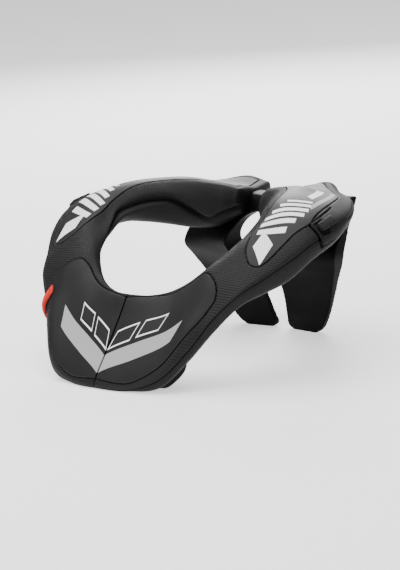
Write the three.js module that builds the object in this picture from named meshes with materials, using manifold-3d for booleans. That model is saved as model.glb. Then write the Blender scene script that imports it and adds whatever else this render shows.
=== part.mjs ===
// A motocross neck brace: a soft moulded collar in two halves that meet at the
// front, worn under the helmet. Each half is a textured shell on a comfort pad,
// with a smooth panel let into the bib, another let into the shoulder, and a strap
// bridge at its side. A stabiliser with two spine legs joins the halves at the back.
// Units are millimetres. +X is the wearer's left, -Y the front and +Z up. Z = 0 is
// the surface that the brace stands on, on its chest pads and its two legs.

import * as THREE from 'three';
import { mergeVertices } from 'three/addons/utils/BufferGeometryUtils.js';
import Module from 'manifold-3d';

// Driving dimensions
const reach = 146;           // from the neck's centre out to the widest shoulder edge
const crown_height = 141.5;  // from the floor to the crown of the shoulders
const neck_centre_y = -1.1;  // the neck's centre lies this far in front of the origin
const front_gap = 1.2;       // slit between the two halves at the front
const seat_gap = 0.3;        // clearance between pieces that touch
const seam_depth = 3;        // how deep the seam between shell and pad is drawn in
const panel_depth = 2.6;     // thickness of the smooth panels
const pocket_gap = 0.8;      // clearance of a panel in its pocket
const bridge_depth = 2.5;    // wall of the strap bridge
const bridge_slot = 2.6;     // slot under the strap bridge for a strap
const bridge_proud = 1.3;    // how far the bridge stands out of the collar's edge
const bar_height = 2.4;      // how far the strap bar stands off its bridge
const strap_depth = 2;       // thickness of the closure strap under the bib
const tab_depth = 1.9;       // thickness of the pull tab round the bib's edge
const chest_depth = 12;      // thickness of a chest pad
const sunk = 2;              // how far a cutting block reaches into what it is cut by
const leg_drop = 17.4;       // how far the stabiliser's top edge lies below the crown
const leg_tuck = 60.8;       // how far its outer corner lies inside the reach
const corner_inset = 8.9;    // the same, measured straight out from the neck
const leg_depth = 5;         // thickness of a leg at its foot

// Sizes that follow from those above
const leg_height = crown_height - leg_drop;   // from the floor to its top edge
const leg_reach = reach - leg_tuck;           // from the middle to its outer corner
const leg_back = Math.sqrt((reach - corner_inset) ** 2 - leg_reach ** 2);   // back to a foot's front

// Sections of one half, from the front slit round to the back. A row is one upright
// cut through the ring. turn is its angle in degrees round the neck from the front,
// and each pair is a radius and a height, in hundredths of reach and crown_height.
// low to roll run up the neck opening, brow to rim across the top, side and lip down
// the outside, and heel and back along the underside.
const section_points = [
  'low', 'fold', 'roll', 'brow', 'crown', 'field', 'rim', 'side', 'lip', 'heel', 'back',
];
const outline_points = [
  'side', 'rim', 'field', 'crown', 'brow', 'roll', 'seam', 'fold', 'low', 'back', 'heel', 'lip',
];
const steps_per_point = 2;   // how finely the outline of a section is smoothed
const min_miter = 0.4;       // keeps the offset of a sharp corner short
const weld = 0.05;           // corners closer than this become one
const sections = [
  [0, [51, 42], [51.5, 45], [54.5, 49], [57.5, 51], [66.5, 37.5], [79, 20],
    [90, 4.5], [90.5, 0.5], [88, 0], [82, 0], [66.5, 22.5]],
  [14, [50, 43], [50.5, 45.5], [53, 50], [56, 52], [66.5, 39], [79, 21.5],
    [90.5, 5.5], [91, 1], [88.5, 0], [82.5, 0], [66, 23]],
  [27, [48.5, 45], [49, 48], [51, 52], [54, 54], [66, 43.5], [79, 28.5],
    [91.5, 14.5], [92.5, 7.5], [90, 3.5], [82, 3], [64.5, 26]],
  [38, [50.5, 48], [51, 50.5], [52.5, 55], [55, 57.5], [65, 54], [76.5, 44],
    [87.5, 34], [90, 23.5], [88, 18.5], [80.5, 16.8], [64.5, 33.5]],
  [48, [55.5, 53.5], [55, 57], [55.5, 61], [58, 64], [65, 64.5], [76, 57.5],
    [85.5, 46.5], [89, 41.5], [88, 34.5], [80, 32.5], [66, 45]],
  [58, [57.5, 62.5], [56, 65.5], [55.5, 68.5], [59, 71.5], [66.5, 72], [77.5, 66.5],
    [88.5, 59], [92, 55], [91, 48.5], [81.5, 46.5], [67, 55]],
  [67, [57.5, 68], [55, 71.5], [54, 74.5], [59, 77], [67, 79], [78, 75],
    [89.5, 67.5], [93.5, 62.5], [93, 55], [83, 51.5], [68, 61]],
  [76, [57.5, 71.5], [54, 75.5], [53.5, 78.5], [59, 82], [66, 85.5], [78, 83.5],
    [92.5, 77], [97.5, 71], [96.5, 61], [85.5, 57], [68.5, 66]],
  [85, [55, 78], [50.5, 81], [54.5, 85], [59, 89.5], [66.5, 92], [79, 91.5],
    [94.5, 85], [100, 79], [99, 70], [87, 66.5], [68.5, 72.5]],
  [95, [52, 79], [47.5, 81.8], [50.5, 86.5], [56.5, 95], [65, 97.5], [78, 95.5],
    [94, 89], [100.5, 82.5], [99.5, 75.5], [85.5, 72], [66.5, 75.5]],
  [107, [49.5, 76.8], [45, 80.5], [47.5, 87], [54, 97.5], [63.5, 100], [76.5, 97.5],
    [92, 92], [99, 86.5], [96.5, 80], [84, 73.8], [64.5, 74.5]],
  [122, [48.5, 73.3], [44, 77], [44.5, 85.5], [52, 97.5], [63, 100], [76, 96.5],
    [89, 92.5], [95.5, 89], [93, 82], [81.5, 73.8], [63.5, 72]],
  [137, [50, 69.5], [45.5, 73.3], [42.5, 81], [50.5, 96.5], [62.5, 99], [74.5, 95],
    [87, 91.5], [93.5, 88.5], [91.5, 81], [79.5, 72.5], [63, 69]],
  [150, [51.5, 69], [47.5, 72.3], [42, 81], [49.5, 95.5], [61, 96.5], [74, 93],
    [89, 91.5], [93.5, 87.5], [92, 79], [79, 70.5], [63.5, 66.5]],
  [160, [53.5, 71], [49.5, 74], [44.5, 82], [50.5, 94], [61, 94.5], [74, 91.5],
    [94, 93], [97, 89], [94.5, 80.5], [79, 72.5], [65, 69.5]],
  [168, [56, 75.5], [52.5, 78], [49.5, 83.5], [53.5, 91.5], [61.5, 92], [74, 90],
    [92, 90], [94, 87], [92, 81.5], [78, 75.5], [66.5, 73]],
];
const last_turn = 171;       // where the rounded back end of a half closes
const last_shrink = 0.7;     // how much smaller that closing section is

// Outlines of the panels: turn, and the inner and outer radius in hundredths of reach
const panel_columns = [0, 0.12, 0.35, 0.65, 0.88, 1];   // shares across a panel
const panel_radius = 0.7 * reach;   // radius at which a panel's outline is laid out flat
const bib_panel_rows = [
  [0, 59.5, 88], [9, 58, 89], [19, 57.5, 90], [27.5, 58.5, 90], [35, 60, 87.5],
  [42, 61.5, 85.5], [47, 65, 84], [49.2, 70, 83], [50.4, 76, 80.5],
];
const shoulder_panel_rows = [
  [64.4, 80.5, 82.5], [65.2, 76, 85], [67, 72, 87.5], [71, 67.5, 89], [76, 64, 89.5],
  [81, 62, 90], [86, 61, 91.5], [89.5, 60, 91.5], [94, 59, 89], [103, 58, 87.5],
  [114, 57, 86.5], [126, 56.5, 86], [137, 56, 84.5], [150, 55.5, 85], [161, 56.5, 88.5],
  [166, 58.5, 87.5],
];

// Slices of one leg of the stabiliser, from the foot up. A row gives the slice's
// height, its inner and outer half width, and how far its front face lies from the
// foot's front, then its back face from the foot's back, each at the inner and the
// outer side. All are in hundredths: widths of leg_reach, the rest of leg_height.
const leg_slices = [
  [0, 14.5, 47, 0, -2.2, 0, -2.2],
  [3.5, 8.5, 55.5, -0.4, -2.6, 0, -2.2],
  [12, 9.5, 65, -2.6, -4.4, -3.1, -3.9],
  [25, 12.3, 75, -6.6, -7, -7, -6.1],
  [42, 17, 88, -15.8, -13.7, -11.8, -10.5],
  [52, 19.8, 96, -27.2, -18, -15.3, -12.7],
  [61, 22.5, 102, -34.2, -22.3, -18.4, -14.9],
  [68, 25, 102, -37.2, -19.7, -22.3, -12.3],
  [75, 23.5, 101.5, -33.3, -13.1, -22.8, -9.2],
  [82, 19.5, 101, -24.5, -9.2, -17.5, -5.3],
  [87, 9, 100.5, -21.9, -6.1, -12.3, -2.2],
  [89.5, -0.5, 100.5, -21, -4.8, -10.5, -1.3],
  [95, -0.5, 101, -18.4, -2.6, -5.7, 1.8],
  [99, -0.5, 101, -14.9, 0, -3.5, 3.5],
  [100, -0.5, 97, -12.3, 1.3, -5.3, 2.2],
];
const leg_columns = [0, 0.08, 0.5, 0.92, 1];   // shares across a leg
const leg_round = 0.25;      // share of the thickness that its two side edges lose

// The line round a half's outer edge, named by the corners of its section
const edge_points = ['heel', 'lip', 'side', 'rim', 'field'];
const bridge_turns = [89, 91, 97, 102.5, 104.5];
const bridge_edges = [1.15, 3.15];     // the bridge's lower and upper edge on that line
const bridge_foot = 0.25;              // how much of the line each of its feet takes
const bar_edges = [2.55, 3.05];
const band_steps = 4;          // how finely a band is cut along that line
const tab_turns = [44.3, 45, 47, 49, 49.7];
const tab_edges = [[0.95, 2.5], [0.3, 3], [0.3, 3], [0.3, 3], [0.95, 2.5]];

// The closure strap under the bib, from the left half to the pull tab on the right:
// turn and radius of its rear edge, then of its front edge, in hundredths of reach
const strap_rows = [
  [26, 60, 26, 75], [14, 57, 13, 73], [0, 56, 0, 72], [-14, 57, -13, 73],
  [-25, 60, -24, 75], [-35, 66, -33, 79], [-43, 74, -39, 81], [-50, 78, -44, 82],
];
const strap_columns = [0, 0.35, 0.7, 1];

// A chest pad: turn, inner and outer radius in hundredths of reach, share of its depth
const chest_rows = [
  [6, 68, 78, 0.5], [8, 66, 81, 1], [14, 65, 82, 1], [20, 64.5, 82, 1],
  [26, 64.5, 81.5, 1], [32, 66, 81, 1], [35.5, 67, 80.5, 0.85], [37, 69, 79, 0.35],
];
const chest_columns = [0, 0.2, 0.5, 0.8, 1];
const chest_shares = [0.5, 1, 1, 1, 0.55];

const finishes = {
  shell: { color: 0x1b1b1d, roughness: 0.72, metalness: 0 },
  pad: { color: 0x232325, roughness: 0.85, metalness: 0 },
  panel: { color: 0x2c2c2f, roughness: 0.55, metalness: 0 },
  plate: { color: 0x17171a, roughness: 0.7, metalness: 0 },
  webbing: { color: 0xd23b34, roughness: 0.8, metalness: 0 },
  strap: { color: 0x141416, roughness: 0.85, metalness: 0 },
};

const wasm = await Module();
wasm.setup();

// The section at any turn, by a smooth curve through the rows of the table
function sectionAt(turn) {
  const last = sections.length - 1;
  let k = 0;
  while (k < last - 1 && turn > sections[k + 1][0]) k += 1;
  const rows = [k - 1, k, k + 1, k + 2].map((i) => sections[Math.min(Math.max(i, 0), last)]);
  const [before, from, to, after] = rows;
  const span = to[0] - from[0];
  const t = (turn - from[0]) / span;
  const bend = (i, j) => {
    const startSlope = (to[i][j] - before[i][j]) / (to[0] - before[0]) * span;
    const endSlope = (after[i][j] - from[i][j]) / (after[0] - from[0]) * span;
    const rise = to[i][j] - from[i][j];
    const square = 3 * rise - 2 * startSlope - endSlope;
    const cube = startSlope + endSlope - 2 * rise;
    return from[i][j] + t * (startSlope + t * (square + t * cube));
  };
  const section = {};
  section_points.forEach((name, i) => {
    section[name] = new THREE.Vector2(bend(i + 1, 0) / 100 * reach, bend(i + 1, 1) / 100 * crown_height);
  });
  const seam = section.fold.clone().lerp(section.roll, 0.5);
  section.seam = seam.add(new THREE.Vector2(seam_depth, 0));
  return section;
}

// A point of one half in space: side is 1 on the wearer's left and -1 on the right
function place(side, turn, radius, height, offset = 0) {
  const angle = THREE.MathUtils.degToRad(turn);
  const across = Math.max(radius * Math.sin(angle), front_gap / 2 - offset);
  return new THREE.Vector3(side * across, neck_centre_y - radius * Math.cos(angle), Math.max(height, 0));
}

// The outline of a section: all of it, or the shell's or the pad's part. A straight
// line from the seam outside to the seam inside parts them, with the seat gap below it.
// It closes both parts, in the same direction, so that their faces along it match.
function sectionLoop(turn, part) {
  const section = sectionAt(turn);
  const points = outline_points.map((name) => new THREE.Vector3(section[name].x, section[name].y, 0));
  const curve = new THREE.CatmullRomCurve3(points, true, 'centripetal');
  const loop = curve.getPoints(points.length * steps_per_point).slice(0, -1);
  const inside = outline_points.indexOf('seam') * steps_per_point;
  if (part === 'whole') return loop;
  if (part === 'shell') return loop.slice(0, inside + 1);
  const gap = loop[inside].clone().sub(loop[0]).normalize();
  gap.set(-gap.y, gap.x, 0).multiplyScalar(seat_gap);
  const below = loop.slice(inside + 1).reverse();
  return [loop[0].clone().add(gap), ...below, loop[inside].clone().add(gap)];
}

// A loop grown outwards by an offset, with mitred corners
function grown(loop, offset) {
  const normals = loop.map((p, i) => {
    const edge = loop[(i + 1) % loop.length].clone().sub(p);
    return new THREE.Vector2(edge.y, -edge.x).normalize();
  });
  return loop.map((p, i) => {
    const [a, b] = [normals[(i + loop.length - 1) % loop.length], normals[i]];
    const miter = a.clone().add(b).normalize();
    const stretch = 1 / Math.max(miter.dot(b), min_miter);
    return new THREE.Vector2(p.x + miter.x * offset * stretch, p.y + miter.y * offset * stretch);
  });
}

// A closed solid through rings of points, with a flat cap at each end
function loft(rings) {
  const count = rings[0].length;
  const positions = rings.flat().flatMap((p) => [p.x, p.y, p.z]);
  const faces = [];
  for (let i = 0; i < rings.length - 1; i += 1) {
    for (let j = 0; j < count; j += 1) {
      const a = i * count + j;
      const b = i * count + (j + 1) % count;
      faces.push([a, b, b + count], [a, b + count, a + count]);
    }
  }
  const last = (rings.length - 1) * count;
  for (const [a, b, c] of ladder(count)) {
    faces.push([c, b, a], [last + a, last + b, last + c]);
  }
  return outward(positions, faces);
}

// Triangles across a loop, like the rungs of a ladder between its two sides
function ladder(count) {
  const faces = [];
  let [a, b] = [0, count - 1];
  while (b - a > 1) {
    faces.push([a, a + 1, b]);
    a += 1;
    if (b - a > 1) faces.push([a, b - 1, b]);
    b -= 1;
  }
  return faces;
}

// A geometry whose faces all point out
function outward(positions, faces) {
  const corner = (i) => new THREE.Vector3().fromArray(positions, 3 * i);
  const volume = faces.reduce(
    (sum, [a, b, c]) => sum + corner(a).dot(corner(b).cross(corner(c))), 0);
  const geometry = new THREE.BufferGeometry();
  geometry.setAttribute('position', new THREE.Float32BufferAttribute(positions, 3));
  geometry.setIndex(faces.flatMap(([a, b, c]) => (volume > 0 ? [a, b, c] : [a, c, b])));
  return geometry;
}

function toSolid(geometry) {
  const merged = mergeVertices(geometry);
  return new wasm.Manifold(new wasm.Mesh({
    numProp: 3,
    vertProperties: new Float32Array(merged.attributes.position.array),
    triVerts: new Uint32Array(merged.index.array),
  }));
}

// A solid's mesh, with corners closer together than weld made one
function toGeometry(solid) {
  const mesh = solid.getMesh();
  const geometry = new THREE.BufferGeometry();
  geometry.setAttribute('position', new THREE.BufferAttribute(new Float32Array(mesh.vertProperties), 3));
  geometry.setIndex(new THREE.BufferAttribute(new Uint32Array(mesh.triVerts), 1));
  const welded = mergeVertices(geometry, weld);
  const corners = Array.from(welded.index.array);
  const kept = [];
  for (let i = 0; i < corners.length; i += 3) {
    const face = corners.slice(i, i + 3);
    if (new Set(face).size === face.length) kept.push(...face);
  }
  return welded.setIndex(kept);
}

// The turns at which a half is cut into rings, with one between each two rows
function ringTurns() {
  const turns = [];
  sections.forEach(([turn], i) => {
    turns.push(turn);
    if (i < sections.length - 1) turns.push((turn + sections[i + 1][0]) / 2);
  });
  return turns;
}

// One half's ring, or a part of it, closed by a rounded back end
function ringSolid(side, part, offset) {
  const rings = ringTurns().map((turn) => (
    grown(sectionLoop(turn, part), offset).map((p) => place(side, turn, p.x, p.y, offset))));
  const loop = grown(sectionLoop(sections.at(-1)[0], part), offset);
  const whole = sectionLoop(sections.at(-1)[0], 'whole');
  const middle = whole.reduce((sum, p) => sum.add(p), new THREE.Vector3()).divideScalar(whole.length);
  rings.push(loop.map((p) => {
    const drawn = p.clone().sub(middle).multiplyScalar(last_shrink).add(middle);
    return place(side, last_turn + offset, drawn.x, drawn.y);
  }));
  return toSolid(loft(rings));
}

// Height and outward normal of a half's surface at a turn and radius: of its top, or
// of its underside
function surfaceAt(turn, radius, side = 'top') {
  const loop = sectionLoop(turn, 'whole');
  const crest = outline_points.indexOf('roll') * steps_per_point;
  const points = side === 'top' ? loop.slice(0, crest + 1) : [...loop.slice(crest), loop[0]].reverse();
  for (let i = 0; i < points.length - 1; i += 1) {
    const [outer, inner] = [points[i], points[i + 1]];
    if (outer.x >= radius && inner.x <= radius && outer.x > inner.x) {
      const t = (outer.x - radius) / (outer.x - inner.x);
      const up = new THREE.Vector2(inner.y - outer.y, outer.x - inner.x).normalize();
      const normal = side === 'top' ? up : up.negate();
      return { height: outer.y + t * (inner.y - outer.y), normal };
    }
  }
  throw new Error(`no ${side} at turn ${turn}, radius ${radius}`);
}

// A panel let into the shell, between two depths under the shell's top. Its outline
// is grown by an offset in the plane of turn and radius.
function panelSolid(side, rows, above, below, offset) {
  const flat = (turn, share) => new THREE.Vector2(
    THREE.MathUtils.degToRad(turn) * panel_radius, share / 100 * reach);
  const inner = rows.map((row) => flat(row[0], row[1]));
  const outer = rows.map((row) => flat(row[0], row[2]));
  const outline = grown([...inner, ...outer.reverse()], offset);
  const rings = rows.map((row, i) => {
    const [from, to] = [outline[i], outline[outline.length - 1 - i]];
    const lift = (share, depth) => {
      const p = from.clone().lerp(to, share);
      const turn = Math.max(THREE.MathUtils.radToDeg(p.x / panel_radius), 0);
      const { height, normal } = surfaceAt(turn, p.y);
      return place(side, turn, p.y + normal.x * depth, height + normal.y * depth, offset);
    };
    const top = panel_columns.map((share) => lift(share, above));
    const bottom = [...panel_columns].reverse().map((share) => lift(share, -below));
    return [...top, ...bottom];
  });
  return loft(rings);
}

// A band round the outer edge of a half. At each turn it runs between two places on
// the line of edge_points, and from one height off the collar to another.
function edgeBand(side, turns, edges, above, below, steps) {
  const start = outline_points.indexOf(edge_points[0]) * steps_per_point;
  const rings = turns.map((turn, i) => {
    const [from, to] = Array.isArray(edges[0]) ? edges[i] : edges;
    const line = (height) => {
      const loop = grown(sectionLoop(turn, 'whole'), height);
      return Array.from({ length: steps + 1 }, (_, k) => {
        const spot = start + (from + (to - from) * k / steps) * steps_per_point;
        const first = Math.floor(spot);
        return loop[first % loop.length].clone().lerp(loop[(first + 1) % loop.length], spot - first);
      });
    };
    return [...line(above), ...line(below).reverse()].map((p) => place(side, turn, p.x, p.y));
  });
  return toSolid(loft(rings));
}

// A strap bridge: a plate over a slot, on a foot at each long edge, with a raised bar
function bridgeSolid(side) {
  const [low, high] = bridge_edges;
  const base = bridge_proud - bridge_depth;
  const floor = base - bridge_slot;
  const plate = edgeBand(side, bridge_turns, bridge_edges, bridge_proud, base, band_steps);
  const bar_turns = bridge_turns.slice(1, -1);
  const bar = edgeBand(side, bar_turns, bar_edges, bridge_proud + bar_height, bridge_proud - 1, 1);
  const feet = [[low, low + bridge_foot], [high - bridge_foot, high]]
    .map((edges) => edgeBand(side, bridge_turns, edges, base + 1, floor + seat_gap, 1));
  return plate.add(bar).add(feet[0]).add(feet[1]);
}

// The pocket for a strap bridge, a little larger than the bridge all round
function bridgePocket(side) {
  const turns = [bridge_turns[0] - 0.6, ...bridge_turns.slice(1, -1), bridge_turns.at(-1) + 0.6];
  const edges = [bridge_edges[0] - 0.06, bridge_edges[1] + 0.06];
  return edgeBand(
    side, turns, edges, bridge_proud + bar_height, bridge_proud - bridge_depth - bridge_slot, band_steps);
}

// A band laid against the underside of the halves, down to a depth below it
function underBand(rows, columns, depthAt, margin) {
  const rings = rows.map((row, i) => {
    const flat = (turn, share) => new THREE.Vector3(
      Math.sin(THREE.MathUtils.degToRad(turn)), -Math.cos(THREE.MathUtils.degToRad(turn)), 0,
    ).multiplyScalar(share / 100 * reach);
    const [from, to] = [flat(row[0], row[1]), flat(row[2], row[3])];
    const reachOut = to.clone().sub(from).normalize().multiplyScalar(margin);
    from.sub(reachOut);
    to.add(reachOut);
    const lift = (share, depth) => {
      const p = from.clone().lerp(to, share);
      const radius = p.length();
      const turn = THREE.MathUtils.radToDeg(Math.atan2(p.x, -p.y));
      const { height, normal } = surfaceAt(Math.abs(turn), radius, 'underside');
      const away = 1 + normal.x * depth / radius;
      return new THREE.Vector3(
        p.x * away, neck_centre_y + p.y * away, Math.max(height + normal.y * depth, 0));
    };
    const inside = columns.map((share) => lift(share, -sunk));
    const outside = columns.map((share, k) => lift(share, depthAt(i, k))).reverse();
    return [...inside, ...outside];
  });
  return toSolid(loft(rings));
}

function strapBand(margin) {
  return underBand(strap_rows, strap_columns, () => seat_gap + strap_depth + margin, margin);
}

function chestBand(side) {
  const rows = chest_rows.map(([turn, inner, outer]) => [side * turn, inner, side * turn, outer]);
  return underBand(rows, chest_columns, (i, k) => chest_depth * chest_rows[i][3] * chest_shares[k], 0);
}

// One leg of the stabiliser with its half of the yoke
function legSolid(side) {
  const rings = leg_slices.map(([height, inner, outer, frontIn, frontOut, backIn, backOut]) => {
    const along = (share, from, to) => new THREE.Vector3(
      side * THREE.MathUtils.lerp(inner, outer, share) / 100 * leg_reach,
      leg_back + THREE.MathUtils.lerp(from, to, share) / 100 * leg_height,
      height / 100 * leg_height);
    const front = leg_columns.map((share) => along(share, frontIn, frontOut));
    const back = leg_columns.map((share) => along(share, backIn, backOut));
    back.forEach((p) => p.setY(p.y + leg_depth));
    for (const k of [0, leg_columns.length - 1]) {
      if (inner < 0 && k === 0) continue;
      const thickness = back[k].y - front[k].y;
      front[k].y += thickness * leg_round;
      back[k].y -= thickness * leg_round;
    }
    return [...front, ...back.reverse()];
  });
  return toSolid(loft(rings));
}

// The geometries of the left half's pieces, each cut clear of the others
function leftHalf() {
  const pocket = bridgePocket(1);
  const pad = ringSolid(1, 'pad', 0).subtract(pocket);
  let shell = ringSolid(1, 'shell', 0).subtract(pocket);
  for (const rows of [bib_panel_rows, shoulder_panel_rows]) {
    shell = shell.subtract(toSolid(panelSolid(1, rows, panel_depth, panel_depth + pocket_gap, pocket_gap)));
  }
  return [
    ['collar_shell', toGeometry(shell), finishes.shell],
    ['comfort_pad', toGeometry(pad), finishes.pad],
    ['bib_panel', panelSolid(1, bib_panel_rows, 0, panel_depth, 0), finishes.panel],
    ['shoulder_panel', panelSolid(1, shoulder_panel_rows, 0, panel_depth, 0), finishes.panel],
    ['strap_bridge', toGeometry(bridgeSolid(1)), finishes.plate],
  ];
}

// The same shape on the wearer's right, its faces turned so that they still point out
function mirrored(geometry) {
  const copy = geometry.clone().scale(-1, 1, 1);
  const corners = Array.from(copy.index.array);
  for (let i = 0; i < corners.length; i += 3) {
    [corners[i + 1], corners[i + 2]] = [corners[i + 2], corners[i + 1]];
  }
  return copy.setIndex(corners);
}

function chestPad(side, name) {
  const solid = chestBand(side).subtract(ringSolid(side, 'whole', seat_gap)).subtract(strapBand(seat_gap));
  return makeMesh(`chest_pad_${name}`, toGeometry(solid), finishes.pad);
}

// The stabiliser, closure strap and pull tab, which lie against both halves
function makeJoining() {
  const clear = (solid) => [1, -1].reduce((left, side) => left.subtract(ringSolid(side, 'whole', seat_gap)), solid);
  const stabiliser = clear(legSolid(1).add(legSolid(-1)));
  const tabBand = (margin) => edgeBand(
    -1, tab_turns, tab_edges, seat_gap + tab_depth + margin, -sunk, 2 * band_steps);
  const tab = clear(tabBand(0));
  const strap = clear(strapBand(0)).subtract(tabBand(seat_gap));
  return [
    makeMesh('stabiliser', toGeometry(stabiliser), finishes.plate),
    makeMesh('closure_strap', toGeometry(strap), finishes.strap),
    makeMesh('pull_tab', toGeometry(tab), finishes.webbing),
  ];
}

function makeMesh(name, geometry, finish) {
  const mesh = new THREE.Mesh(geometry, new THREE.MeshStandardMaterial(finish));
  mesh.name = name;
  return mesh;
}

const group = new THREE.Group();
for (const [name, geometry, finish] of leftHalf()) {
  group.add(makeMesh(`${name}_left`, geometry, finish));
  group.add(makeMesh(`${name}_right`, mirrored(geometry), finish));
}
group.add(chestPad(1, 'left'), chestPad(-1, 'right'));
group.add(...makeJoining());

export default group;
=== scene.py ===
# A motocross neck brace: two moulded foam halves with smooth panels, strap bridges,
# chest pads, a closure strap with a red tab, and a stabiliser with two spine legs.
# Metres. +X is the wearer's left, -Y the front, +Z up, and Z = 0 is the floor.

import math
import bmesh
import bpy
import numpy as np
from mathutils import Matrix, Vector
from mathutils.kdtree import KDTree


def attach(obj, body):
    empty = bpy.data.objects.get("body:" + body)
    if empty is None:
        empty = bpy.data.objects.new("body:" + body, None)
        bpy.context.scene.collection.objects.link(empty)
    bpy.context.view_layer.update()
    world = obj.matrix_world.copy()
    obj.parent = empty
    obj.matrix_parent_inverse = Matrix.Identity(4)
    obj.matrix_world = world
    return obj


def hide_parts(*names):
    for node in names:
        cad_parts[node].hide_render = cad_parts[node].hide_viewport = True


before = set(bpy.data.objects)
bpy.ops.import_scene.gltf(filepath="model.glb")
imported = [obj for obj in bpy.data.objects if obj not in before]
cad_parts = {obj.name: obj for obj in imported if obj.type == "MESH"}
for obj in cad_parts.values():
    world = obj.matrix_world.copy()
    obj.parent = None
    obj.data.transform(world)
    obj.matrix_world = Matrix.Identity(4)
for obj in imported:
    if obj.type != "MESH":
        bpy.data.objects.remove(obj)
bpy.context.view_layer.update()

# Driving sizes. Most are the part's own, in metres.
REACH = 0.146           # from the neck's centre out to the widest shoulder edge
CROWN = 0.1415          # from the floor to the crown of the shoulders
NECK_Y = -0.0011        # the neck's centre lies this far in front of the origin
HALF_SLIT = 0.0006      # half of the slit between the two halves at the front
SLIT_EASE = 0.01        # how far from the slit the halves start to ease away from it
SEAM_DEPTH = 0.003      # how deep the seam between shell and pad is drawn in
SEAT_GAP = 0.0003       # clearance between pieces that touch
LEG_HEIGHT = 0.1241     # from the floor to the stabiliser's top edge
LEG_REACH = 0.0852      # from the middle to the stabiliser's outer corner
LEG_DEPTH = 0.005       # thickness of a leg at its foot
LEG_BACK = 0.1074       # from the origin back to the front of a foot
CHEST_DEPTH = 0.012     # thickness of a chest pad
BRIDGE_DEPTH = 0.0025   # wall of the strap bridge
BRIDGE_SLOT = 0.0026    # slot under the strap bridge for a strap
BRIDGE_PROUD = 0.0013   # how far the bridge stands out of the collar's edge
BAR_HEIGHT = 0.0024     # how far the strap bar stands off its bridge
RECESS_DEPTH = 0.0019   # depth of the recess beside the bar
STRAP_DEPTH = 0.002     # thickness of the closure strap under the bib
TAB_DEPTH = 0.0019      # thickness of the pull tab at its edges
TAB_PUFF = 0.0014       # how much thicker it is in its middle
UV_RADIUS = 0.115       # radius at which turns are measured out for the UV maps
UV_STEP = 0.004         # length in a UV map of one step along a strap or a pad, or round a leg

# One upright cut through the ring a row: turn round the neck from the front, then
# radius and height in hundredths of REACH and CROWN
SECTION_POINTS = ["low", "fold", "roll", "brow", "crown", "field", "rim", "side", "lip", "heel", "back"]
OUTLINE_POINTS = [
    "side", "rim", "field", "crown", "brow", "roll", "seam", "fold", "low", "back", "heel", "lip",
]
SECTIONS = [
    [0, [51, 42], [51.5, 44.7], [54.5, 47.8], [57.5, 49.6], [66.5, 37.5], [79, 20],
     [90, 4.5], [90.5, 0.5], [88, 0], [82, 0], [66.5, 22.5]],
    [14, [50.8, 42.5], [51.3, 44.7], [53.8, 48.2], [56.5, 49.6], [66.5, 39], [79, 21.5],
     [90.5, 5.5], [91, 1], [88.5, 0], [82.5, 0], [66, 23]],
    [27, [51.7, 44.5], [52.2, 47], [54, 50.4], [55.8, 52], [66, 43.5], [79, 28.5],
     [91.5, 14.5], [92.5, 7.5], [90, 3.5], [82, 3], [64.5, 26]],
    [38, [53, 48], [53.5, 50.5], [54.8, 54.6], [56.8, 57], [65, 54], [76.5, 44],
     [87.5, 34], [90, 23.5], [88, 18.5], [80.5, 16.8], [64.5, 33.5]],
    [48, [55.5, 53.5], [55, 57], [55.5, 61], [58, 64], [65, 64.5], [76, 57.5],
     [85.5, 46.5], [89, 41.5], [88, 34.5], [80, 32.5], [66, 45]],
    [58, [57.5, 62.5], [56, 65.5], [55.5, 68.5], [59, 71.5], [66.5, 72], [77.5, 66.5],
     [88.5, 59], [92, 55], [91, 48.5], [81.5, 46.5], [67, 55]],
    [67, [57.5, 68], [55, 71.5], [54, 74.5], [59, 77], [67, 79], [78, 75],
     [89.5, 67.5], [93.5, 62.5], [93, 55], [83, 51.5], [68, 61]],
    [76, [57.5, 71.5], [54, 77], [54.5, 80.5], [59, 82], [66, 85.5], [78, 83.5],
     [92.5, 77], [97.5, 71], [96.5, 61], [85.5, 57], [68.5, 66]],
    [85, [55, 78], [51, 83], [55, 87.3], [59, 89.5], [66.5, 92], [79, 91.5],
     [94.5, 85], [100, 79], [99, 70], [87, 66.5], [68.5, 72.5]],
    [95, [52, 79], [47.7, 85], [51, 91], [56.5, 95], [65, 97.5], [78, 95.5],
     [94, 89], [100.5, 82.5], [99.5, 75.5], [85.5, 72], [66.5, 75.5]],
    [107, [49.5, 76.8], [45, 86], [48.5, 92.7], [54, 97.5], [63.5, 100], [76.5, 97.5],
     [92, 92], [99, 86.5], [96.5, 80], [84, 73.8], [64.5, 74.5]],
    [122, [48.5, 73.3], [43.7, 84], [45.8, 92], [52, 97.5], [63, 100], [76, 96.5],
     [89, 92.5], [95.5, 89], [93, 82], [81.5, 73.8], [63.5, 72]],
    [137, [50, 69.5], [44.5, 77], [43, 84.5], [50.5, 96.5], [62.5, 99], [74.5, 95],
     [87, 91.5], [93.5, 88.5], [91.5, 81], [79.5, 72.5], [63, 69]],
    [150, [51.5, 69], [47.5, 71.8], [42.5, 78], [49.5, 95.5], [61, 96.5], [74, 93],
     [89, 91.5], [93.5, 87.5], [92, 79], [79, 70.5], [63.5, 66.5]],
    [160, [53.5, 71], [49.5, 74], [44.5, 82], [50.5, 94], [61, 94.5], [74, 91.5],
     [94, 93], [97, 89], [94.5, 80.5], [79, 72.5], [65, 69.5]],
    [168, [56, 75.5], [52.5, 78], [49.5, 83.5], [53.5, 91.5], [61.5, 92], [74, 90],
     [92, 90], [94, 87], [92, 81.5], [78, 75.5], [66.5, 73]],
]
STEPS = 24              # points between two named points of a section
RING_CUTS = 320         # cuts through a half, besides the closer ones
SEAM_ROUND = 0.0034     # how wide and how deep the edges at a seam are rounded off
SEAM_SINK = 0.0018
SEAM_STEPS = 6          # points across the face between a shell and its pad
END_CUTS = 8            # cuts through the rounded back end of a half
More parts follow.
